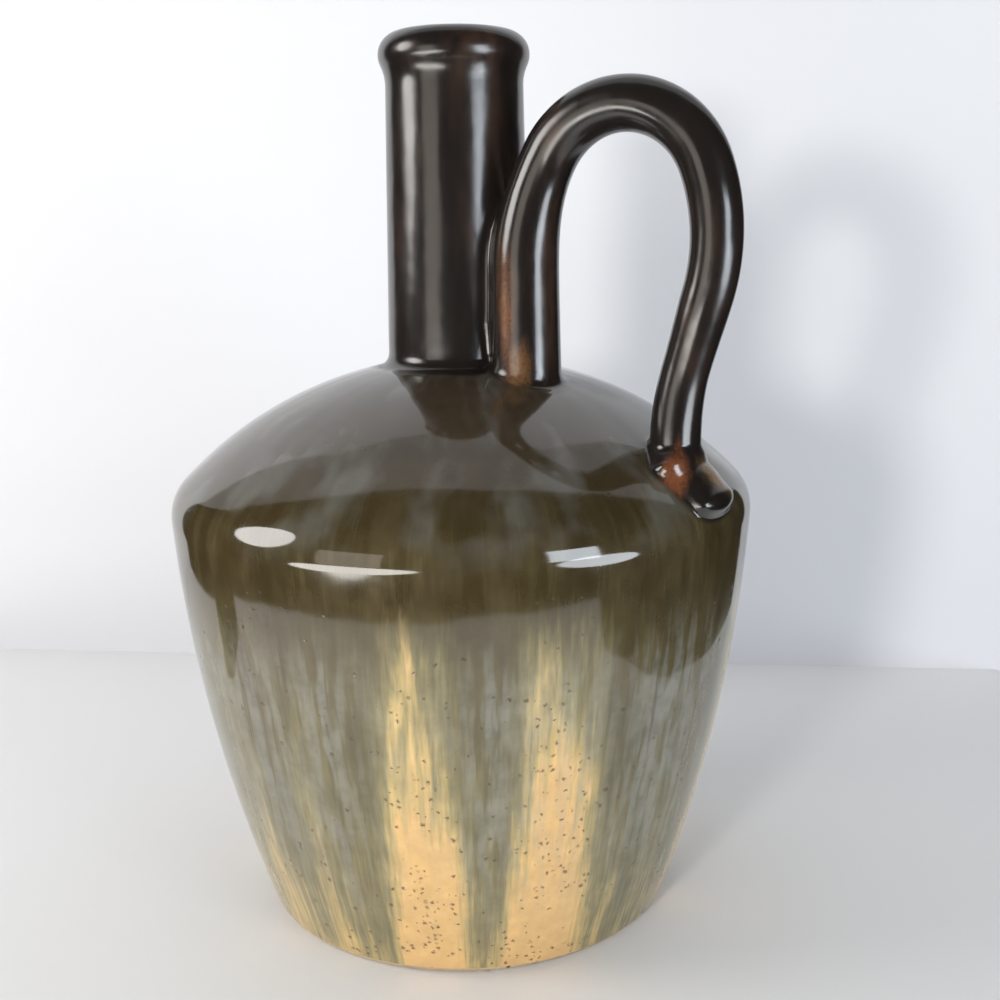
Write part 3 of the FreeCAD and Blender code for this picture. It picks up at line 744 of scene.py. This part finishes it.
def dark_effect():
    """Colour, roughness and height of the black glaze on the neck and the handle."""
    c = colours()
    group, g, _ = new_group("bronzed_black_glaze")
    place = g.place()
    squash = g.vector("MULTIPLY", place, (1.0, 1.0, 0.22))
    runs = g.noise(squash, 160.0, 4.0, 0.6)
    cloud = g.noise(squash, 46.0, 3.0, 0.6)
    fine = g.noise(place, 520.0, 3.0, 0.6)
    bronze = g.ease(cloud, 0.42, 0.72) * g.ease(runs, 0.35, 0.70)
    shade = g.mix(bronze * 0.9, tint(c.black), tint(c.bronze))
    for middle, reach, strength, yellow in BREAKS:
        away = g.vector("DIVIDE", g.vector("SUBTRACT", place, middle), reach)
        far = g.vector("LENGTH", away, output="Value") + (runs - 0.5) * 2.4
        spot = g.ease(far, 1.45, 0.20) * g.ease(fine, 0.20, 0.60, strength * 0.5, strength)
        flame = g.mix(g.ease(fine, 0.25, 0.75, yellow * 0.4, yellow), tint(c.rust), tint(c.amber, 0.62))
        flame = g.mix(g.ease(fine, 0.45, 0.70, 0.0, 0.6), flame, tint(c.iron, 0.5))
        shade = g.mix(spot, shade, flame)
    rough = g.ease(runs, 0.25, 0.75, 0.15, 0.25) + fine * 0.02
    height = g.noise(place, 60.0, 2.0) * 0.0003 + fine * 6e-6
    g.give(Color=shade, Roughness=rough, Height=height)
    return group


def clay_effect():
    """Colour, roughness and height of bare fired clay, with grog and a few iron spots."""
    group, g, given = new_group(
        "bare_clay", inputs=(("Color", COLOR, (0.5, 0.4, 0.3, 1)), ("Grain", FLOAT, 600.0))
    )
    place = g.place()
    grain = g.noise(place, given["Grain"], 5.0, 0.65)
    patch = g.noise(place, 45.0, 3.0)
    shade = g.mix(0.5, given["Color"], g.ramp(grain, ((0.3, 0.7), (0.7, 1.25))), "MULTIPLY")
    shade = g.mix(g.ease(patch, 0.45, 0.75, 0.0, 0.5), shade, (0.22, 0.13, 0.07, 1))
    pick, away = g.cells(place, 420.0)
    spot = g.ease(away, 0.4, 0.2) * g.math("GREATER_THAN", pick, 0.93)
    shade = g.mix(spot, shade, (0.05, 0.022, 0.01, 1))
    g.give(Color=shade, Roughness=g.ease(grain, 0.2, 0.8, 0.62, 0.82), Height=grain * 0.00012)
    return group


def glaze_material(name, group, ior, coat=0.0, bump=1.0, **values):
    """A shiny material whose colour, roughness and bumps come from an effect group."""
    material = bpy.data.materials.new(name)
    material.use_nodes = True
    g = Graph(material.node_tree)
    shader = material.node_tree.nodes["Principled BSDF"]
    effect = g.add("ShaderNodeGroup", node_tree=group, inputs=values)
    height = {"Height": effect.outputs["Height"], "Strength": bump, "Distance": 1.0}
    g.feed(shader.inputs["Normal"], g.value("ShaderNodeBump", inputs=height))
    g.feed(shader.inputs["Base Color"], effect.outputs["Color"])
    g.feed(shader.inputs["Roughness"], effect.outputs["Roughness"])
    shader.inputs["IOR"].default_value = ior
    shader.inputs["Coat Weight"].default_value = coat
    shader.inputs["Coat Roughness"].default_value = COAT_ROUGHNESS
    return material


def made_once(kind, name, make):
    """An effect or a material, made the first time that it is asked for."""
    return kind.get(name) or make()


def run_together():
    """The streaked glaze on the belly, the black one on the neck and the rod, and soft edges between."""
    streaked, dark = belly_effect(), dark_effect()
    group, g, _ = new_group("glazes_run_together")
    belly = g.values("ShaderNodeGroup", node_tree=streaked)
    black = g.values("ShaderNodeGroup", node_tree=dark)
    rod = g.ease(g.values("ShaderNodeAttribute", attribute_name="rod")["Fac"], 0.12, 0.55)
    amount = g.math("MAXIMUM", rod, belly["Dark"])

    def blended(label):
        return belly[label] + (black[label] - belly[label]) * amount

    shade = g.mix(amount, belly["Color"], black["Color"])
    g.give(Color=shade, Roughness=blended("Roughness"), Height=blended("Height"))
    return group


def run_glaze(name):
    """A finish of the two glazes run together."""
    group = made_once(bpy.data.node_groups, "glazes_run_together", run_together)
    return made_once(bpy.data.materials, name, lambda: glaze_material(name, group, GLAZE_IOR))


def bare_clay(name, shade, grain, ior=1.5, coat=0.0, bump=0.6):
    group = made_once(bpy.data.node_groups, "bare_clay", clay_effect)
    make = lambda: glaze_material(name, group, ior, coat, bump, Color=tint(shade), Grain=grain)
    return made_once(bpy.data.materials, name, make)


# The wall: an outline turned about the axis.

TURN_STEPS = 420
WALL_STEPS = 96
SHARP_EDGE = radians(40)
WELD_DISTANCE = 1e-6


def wall_tree(s, pot):
    """Nodes that turn the wall's section about the jug's axis, and the values of their inputs."""
    tree = bpy.data.node_groups.new("wall_turned_on_the_wheel", "GeometryNodeTree")
    face = tree.interface
    face.new_socket("Geometry", in_out="INPUT", socket_type="NodeSocketGeometry")
    distances = {
        "Wall curve": s.wall_radius,
        "Wall centre": float(pot.wall[0]),
        "Wall middle": float(pot.wall[1]),
        "Corner": s.corner_radius,
        "Corner centre": float(pot.corner[0]),
        "Corner height": float(pot.corner[1]),
        "Turn height": float(pot.turn_height),
        "Low": s.glaze_line,
        "High": s.seam_height,
        "Thickness": s.glaze_thickness,
    }
    values = {}
    for kind, defaults in (
        ("Float", distances),
        ("Int", {"Turns": TURN_STEPS, "Rows": WALL_STEPS}),
        ("Material", {"Material": run_glaze("belly_finish")}),
    ):
        for name, default in defaults.items():
            socket = face.new_socket(name, in_out="INPUT", socket_type="NodeSocket" + kind)
            socket.default_value = default
            if kind == "Float":
                socket.subtype = "DISTANCE"
            values[socket.identifier] = default
    face.new_socket("Geometry", in_out="OUTPUT", socket_type="NodeSocketGeometry")
    g = Graph(tree)
    given = g.values("NodeGroupInput")

    # A sheet one unit square: across it is once round the jug, up it is from the bottom to the top.
    grid = g.value("GeometryNodeMeshGrid", 1.0, 1.0, given["Turns"] + 1.0, given["Rows"])
    across, up, _ = g.axes(g.value("GeometryNodeInputPosition"))
    angle = (across + 0.5) * tau
    height = given["Low"] + (up + 0.5) * (given["High"] - given["Low"])

    def reach(radius, centre, middle):
        return centre + g.math("SQRT", radius**2.0 - (height - middle) ** 2.0)

    def side(inset):
        wall = reach(given["Wall curve"] - inset, given["Wall centre"], given["Wall middle"])
        turn = reach(given["Corner"] - inset, given["Corner centre"], given["Corner height"])
        radius = wall + g.math("GREATER_THAN", height, given["Turn height"]) * (turn - wall)
        x, y = radius * g.math("COSINE", angle), radius * g.math("SINE", angle)
        place = g.value("ShaderNodeCombineXYZ", x, y, height)
        return g.value("GeometryNodeSetPosition", inputs={"Geometry": grid, "Position": place})

    both = g.add("GeometryNodeJoinGeometry")
    g.feed(both.inputs[0], side(0.0))
    g.feed(both.inputs[0], g.value("GeometryNodeFlipFaces", side(given["Thickness"])))
    welded = g.value(
        "GeometryNodeMergeByDistance", inputs={"Geometry": both.outputs[0], "Distance": WELD_DISTANCE}
    )
    real = g.value("GeometryNodeRealizeInstances", g.value("GeometryNodeSetShadeSmooth", welded))
    g.add(
        "NodeGroupOutput",
        g.value("GeometryNodeSetMaterial", inputs={"Geometry": real, "Material": given["Material"]}),
    )
    return tree, values


def close_rims(mesh):
    """Strips between the outer and inner rims, top and bottom, and every face turned outward."""
    work = bmesh.new()
    work.from_mesh(mesh)
    rims = [edge for edge in work.edges if edge.is_boundary]
    middle = sum(edge.verts[0].co.z for edge in rims) / len(rims)
    for top in (True, False):
        ring = [edge for edge in rims if (edge.verts[0].co.z > middle) == top]
        bmesh.ops.bridge_loops(work, edges=ring)
    bmesh.ops.recalc_face_normals(work, faces=work.faces)
    for face in work.faces:
        face.smooth = True
    for edge in work.edges:
        if edge.calc_face_angle(0) > SHARP_EDGE:
            edge.smooth = False
    work.to_mesh(mesh)
    work.free()


class JUG_OT_wall(bpy.types.Operator):
    """Turn the belly's glazed wall, up to the widest part"""

    bl_idname = "jug.wall"
    bl_label = "Glazed wall"

    def execute(self, context):
        s = sizes()
        tree, values = wall_tree(s, Pot(s))
        start = add_object("wall_start", bpy.data.meshes.new("wall_start"))
        modifier = start.modifiers.new("Turned", "NODES")
        modifier.node_group = tree
        for identifier, value in values.items():
            modifier[identifier] = value
        context.view_layer.update()
        mesh = bpy.data.meshes.new_from_object(start.evaluated_get(context.evaluated_depsgraph_get()))
        if not mesh.polygons:
            raise RuntimeError("the wall has no faces")
        bpy.data.objects.remove(start)
        close_rims(mesh)
        mesh.name = "belly_wall_glaze"
        piece = add_object("belly_wall_glaze", mesh)
        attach(piece, "root")
        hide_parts("body_glaze")
        return {"FINISHED"}


# The blended glaze: spare cells round the net's box, and how far the tongue reaches past it.
NET_MARGIN = 3
TONGUE_REACH = 0.0042


class JUG_OT_glaze(bpy.types.Operator):
    """Lay the glaze over the shoulder, neck and handle as one blended surface, in a piece for each"""

    bl_idname = "jug.glaze"
    bl_label = "Blended glaze"

    def execute(self, context):
        s, h = sizes(), handle_sizes()
        form = Form(s, h)
        cell = s.fine_cell
        edge = NET_MARGIN * cell
        side = s.belly_radius + edge
        low = np.array([-side, -side, s.seam_height - edge])
        high = np.array([side + TONGUE_REACH, side, form.pot.height + edge])
        points, quads = net(form, low, high, cell)

        # The bore's own lining stands inside the mouth.
        wide, height = reach_and_height(points, quads)
        quads = quads[(wide > s.mouth_radius + 2 * cell) | (height > form.pot.height - s.mouth_round)]
        points, normals = form.settle(points)

        # The seam with the wall: faces below it go, and the lowest points that stay are drawn to its height.
        quads = quads[points[quads, 2].mean(1) > s.seam_height]
        rim = np.unique(open_edges(quads, len(points)))
        rim = rim[points[rim, 2] < s.seam_height + edge]
        around = np.arctan2(points[rim, 1], points[rim, 0])
        radius = form.pot.wall_radius_at(s, s.seam_height)
        points[rim, 0] = radius * np.cos(around)
        points[rim, 1] = radius * np.sin(around)
        points[rim, 2] = s.seam_height
        normals[rim] = form.normals(points[rim])

        wide, height = reach_and_height(points, quads)
        pot, rod = form.parts(points)
        handle = (pot - rod)[quads].mean(1) > 0
        neck = ~handle & (wide < form.pot.cove[0]) & (height > form.pot.cove[1] - s.cove_radius)
        on_rod = np.clip((pot - rod) / (2 * h.foot_fillet) + 0.5, 0, 1)
        for name, chosen, node, material, slot in (
            ("shoulder_glaze", ~handle & ~neck, "body_glaze", run_glaze("belly_finish"), "belly_glaze"),
            ("neck_skin", neck, "neck_glaze", run_glaze("dark_finish"), "dark_glaze"),
            ("handle_skin", handle, "handle_glaze", run_glaze("dark_finish"), "dark_glaze"),
        ):
            if not chosen.any():
                raise RuntimeError(f"{name} has no faces")
            piece = shell(name, points, normals, quads[chosen], s.glaze_thickness, on_rod)
            piece.data.materials.append(material)
            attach(piece, "root")
            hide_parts(node)
        return {"FINISHED"}


class JUG_OT_clay(bpy.types.Operator):
    """Give the clay, the joining slip and the lining their finishes"""

    bl_idname = "jug.clay"
    bl_label = "Clay and lining"

    def execute(self, context):
        c = colours()
        clay = bare_clay("clay_finish", c.clay, 700.0)
        slip = bare_clay("slip_finish", c.slip, 1100.0)
        lining = bare_clay("lining_finish", c.liner, 160.0, ior=1.6, coat=0.5, bump=0.2)
        for material, nodes in (
            (clay, ("body", "neck", "handle")),
            (slip, ("neck_lute", "handle_root_lute", "handle_toe_lute")),
            (lining, ("liner_glaze",)),
        ):
            for node in nodes:
                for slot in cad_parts[node].material_slots:
                    slot.material = material
        return {"FINISHED"}


# The stage stands square to the camera: x to its right, y away from it.
CAMERA_TURN = radians(29.6)
STAGE_TURN = Matrix.Rotation(CAMERA_TURN, 4, "Z")
MIDDLE_HEIGHT = 0.12
SCREEN_REACH = 1.6

# The part of the table round the jug that the glaze reflects, x to the right and y away from the camera; past
# its edge the glaze sees no table. The notch on its right is a painted shadow: it leaves a dark patch in the
# glaze standing in for the jug's own shadow on the table. The narrow notch on its left leaves a thin dark run
# in the glaze.
TABLE_EDGE_AND_PAINTED_SHADOW = (
    (0.250, 0.300), (-0.360, 0.300), (-0.330, 0.213), (-0.313, 0.111), (-0.310, 0.059), (-0.250, 0.041),
    (-0.205, 0.029), (-0.207, 0.006), (-0.253, -0.010), (-0.323, -0.004), (-0.300, -0.090), (-0.246, -0.167),
    (-0.175, -0.225), (-0.094, -0.264), (0.001, -0.283), (0.064, -0.276), (0.150, -0.247), (0.226, -0.203),
    (0.198, -0.179), (0.179, -0.152), (0.188, -0.118), (0.185, -0.088), (0.192, -0.044), (0.210, 0.009),
    (0.221, 0.091), (0.225, 0.155),
)
FLOOR_REACH = 3.0
FLOOR_DROP = 0.0001

# Backdrops: name, left and right end, and whether the glaze or the camera sees it. They stand a little aslant.
BACKDROPS = (("backdrop", -0.9, 0.9, False), ("backdrop_in_glaze", -0.36, 0.225, True))
BACKDROP_AWAY = 0.2025
BACKDROP_SLANT = 0.1083
BACKDROP_LOW = -0.01
BACKDROP_HIGH = 0.75

# How far back the dark screen reaches, in shares of its radius: the most, straight up, and more to the sides.
SCREEN_MOST = 0.95
SCREEN_TOP = -0.04
SCREEN_GAIN = 1.05
SCREEN_SPOKES = 96
SCREEN_RINGS = 24

SKY_COLOUR = (0.95, 0.97, 1.0, 1)
SKY_STRENGTH = 0.49

CAMERA_PLACE = (0.01087, -0.3693, 0.1916)
CAMERA_PITCH = radians(11.58)
CAMERA_ROLL = radians(-0.799)
CAMERA_LENS = 46.8
SENSOR_WIDTH = 36


def staged(x, y, z):
    """A place of the stage, as seen from the camera's side, in the jug's own frame."""
    return STAGE_TURN @ Vector((x, y, z))


def plain_material(name, shade, roughness, see_through_back=False):
    """A matt stage material; a backdrop can't be seen from behind."""
    material = bpy.data.materials.new(name)
    material.use_nodes = True
    g = Graph(material.node_tree)
    shader, end = g.tree.nodes["Principled BSDF"], g.tree.nodes["Material Output"]
    shader.inputs["Base Color"].default_value = (*shade, 1)
    shader.inputs["Roughness"].default_value = roughness
    shader.inputs["Specular IOR Level"].default_value = 0.2
    if see_through_back:
        back = g.add("ShaderNodeNewGeometry").outputs["Backfacing"]
        clear = g.add("ShaderNodeBsdfTransparent").outputs[0]
        g.feed(end.inputs["Surface"], g.value("ShaderNodeMixShader", back, shader.outputs[0], clear))
    return material


def stage_piece(name, points, faces, material):
    mesh = bpy.data.meshes.new(name)
    mesh.from_pydata([tuple(staged(*point)) for point in points], [], faces)
    mesh.materials.append(material)
    piece = add_object(name, mesh)
    return piece


def panel(name, corners, material):
    """A flat stage piece through its corners."""
    return stage_piece(name, corners, [tuple(range(len(corners)))], material)


def dark_screen():
    """A dark screen over the camera's half of the room, seen only by the shine of the glaze."""
    points, faces = [(0, -SCREEN_REACH, MIDDLE_HEIGHT)], []
    for i in range(SCREEN_SPOKES):
        spoke = tau * i / SCREEN_SPOKES
        past = min(SCREEN_MOST, SCREEN_TOP + SCREEN_GAIN * (1 - max(sin(spoke), 0)))
        for j in range(1, SCREEN_RINGS + 1):
            turn = acos(-past) * j / SCREEN_RINGS
            x, y, z = sin(turn) * cos(spoke), -cos(turn), sin(turn) * sin(spoke)
            points.append((x * SCREEN_REACH, y * SCREEN_REACH, z * SCREEN_REACH + MIDDLE_HEIGHT))
        this, after = 1 + i * SCREEN_RINGS, 1 + (i + 1) % SCREEN_SPOKES * SCREEN_RINGS
        faces.append((0, this, after))
        for j in range(SCREEN_RINGS - 1):
            faces.append((this + j, this + j + 1, after + j + 1, after + j))
    dark = plain_material("dark_screen", (0.012, 0.011, 0.010), 1.0)
    screen = stage_piece("dark_screen", points, faces, dark)
    screen.visible_camera = screen.visible_diffuse = screen.visible_shadow = False


def lamp(name, around, up, distance, width, height, strength, shade, shape="ELLIPSE", shines=True):
    """A soft light that faces the jug, at angles to the right of the camera's side and up from its middle.

    Strength is its brightness as seen in the glaze, where it shines.
    """
    around, up = radians(around), radians(up)
    light = bpy.data.lights.new(name, "AREA")
    light.shape = shape
    light.size, light.size_y = width, height
    light.energy = strength * pi * width * height * (pi / 4 if shape == "ELLIPSE" else 1)
    light.color = shade
    piece = add_object(name, light)
    flat = cos(up) * distance
    piece.location = staged(sin(around) * flat, -cos(around) * flat, MIDDLE_HEIGHT + sin(up) * distance)
    way = staged(0, 0, MIDDLE_HEIGHT) - piece.location
    piece.rotation_euler = way.to_track_quat("-Z", "Y").to_euler()
    piece.visible_glossy = shines


class JUG_OT_stage(bpy.types.Operator):
    """Set the pale table, the backdrop, the soft lights and the camera"""

    bl_idname = "jug.stage"
    bl_label = "Stage"

    def execute(self, context):
        scene = context.scene
        pale = plain_material("table", (0.81, 0.81, 0.81), 0.6)
        wall = plain_material("backdrop", (0.62, 0.63, 0.655), 0.9, see_through_back=True)
        # The table's outline holds a painted shadow: its notch on the right shows dark in the glaze where the
        # jug's shadow lies on the table.
        panel("table", [(x, y, 0) for x, y in TABLE_EDGE_AND_PAINTED_SHADOW], pale)
        ends = ((-1, -1), (1, -1), (1, 1), (-1, 1))
        floor = panel("floor", [(x * FLOOR_REACH, y * FLOOR_REACH, -FLOOR_DROP) for x, y in ends], pale)
        floor.visible_glossy = floor.visible_shadow = False
        for name, left, right, in_glaze in BACKDROPS:
            low = [(x, BACKDROP_AWAY - BACKDROP_SLANT * x, BACKDROP_LOW) for x in (left, right)]
            piece = panel(name, [*low, *((x, y, BACKDROP_HIGH) for x, y, _ in reversed(low))], wall)
            piece.visible_glossy = in_glaze
            piece.visible_camera = piece.visible_diffuse = piece.visible_shadow = not in_glaze
        dark_screen()
        lamp("key_light", -39, -14.5, 1.0, 0.90, 0.22, 7.0, (1.0, 0.97, 0.92))
        lamp("key_top", -39, 5, 1.0, 0.44, 0.44, 1.3, (1.0, 0.90, 0.80), shape="RECTANGLE")
        lamp("window_light", 51, -10, 1.0, 0.56, 0.32, 6.0, (0.88, 0.94, 1.0))
        lamp("window_top", 42, 6, 1.0, 0.34, 0.36, 6.2, (0.84, 0.92, 1.0), shape="RECTANGLE")
        lamp("side_light", -79, 21, 0.80, 0.36, 0.44, 6.0, (1.0, 0.97, 0.94))
        lamp("shadow_light", -24, 8, 1.1, 0.16, 0.16, 104.0, (1.0, 0.97, 0.93), shines=False)
        world = bpy.data.worlds.new("studio")
        world.use_nodes = True
        sky = world.node_tree.nodes["Background"]
        sky.inputs["Color"].default_value = SKY_COLOUR
        sky.inputs["Strength"].default_value = SKY_STRENGTH
        scene.world = world

        camera = bpy.data.cameras.new("camera")
        camera.lens = CAMERA_LENS
        camera.sensor_width = SENSOR_WIDTH
        camera.clip_start = 0.01
        view = add_object("camera", camera)
        turn = Matrix.Rotation(pi / 2 - CAMERA_PITCH, 4, "X") @ Matrix.Rotation(CAMERA_ROLL, 4, "Z")
        view.matrix_world = STAGE_TURN @ Matrix.Translation(CAMERA_PLACE) @ turn
        scene.camera = view
        scene.view_settings.view_transform = "Standard"
        return {"FINISHED"}


class JUG_PT_panel(bpy.types.Panel):
    """The steps that finish the jug, and its sizes and colours"""

    bl_idname = "JUG_PT_panel"
    bl_label = "Stoneware jug"
    bl_space_type = "VIEW_3D"
    bl_region_type = "UI"
    bl_category = "Jug"

    def draw(self, context):
        for step in STEPS:
            self.layout.operator(step.bl_idname)
        for group in (context.scene.jug_sizes, context.scene.jug_handle, context.scene.jug_colours):
            box = self.layout.box()
            for name in group.__annotations__:
                box.prop(group, name)


GROUPS = (JugSizes, HandleSizes, GlazeColours)
STEPS = (JUG_OT_clay, JUG_OT_wall, JUG_OT_glaze, JUG_OT_stage)


def register():
    for kind in (*GROUPS, *STEPS, JUG_PT_panel):
        bpy.utils.register_class(kind)
    bpy.types.Scene.jug_sizes = bpy.props.PointerProperty(type=JugSizes)
    bpy.types.Scene.jug_handle = bpy.props.PointerProperty(type=HandleSizes)
    bpy.types.Scene.jug_colours = bpy.props.PointerProperty(type=GlazeColours)


def unregister():
    for name in ("jug_colours", "jug_handle", "jug_sizes"):
        delattr(bpy.types.Scene, name)
    for kind in (JUG_PT_panel, *reversed(STEPS), *reversed(GROUPS)):
        bpy.utils.unregister_class(kind)


def main():
    register()
    for step in (bpy.ops.jug.clay, bpy.ops.jug.wall, bpy.ops.jug.glaze, bpy.ops.jug.stage):
        step()


if __name__ == "__main__":
    main()
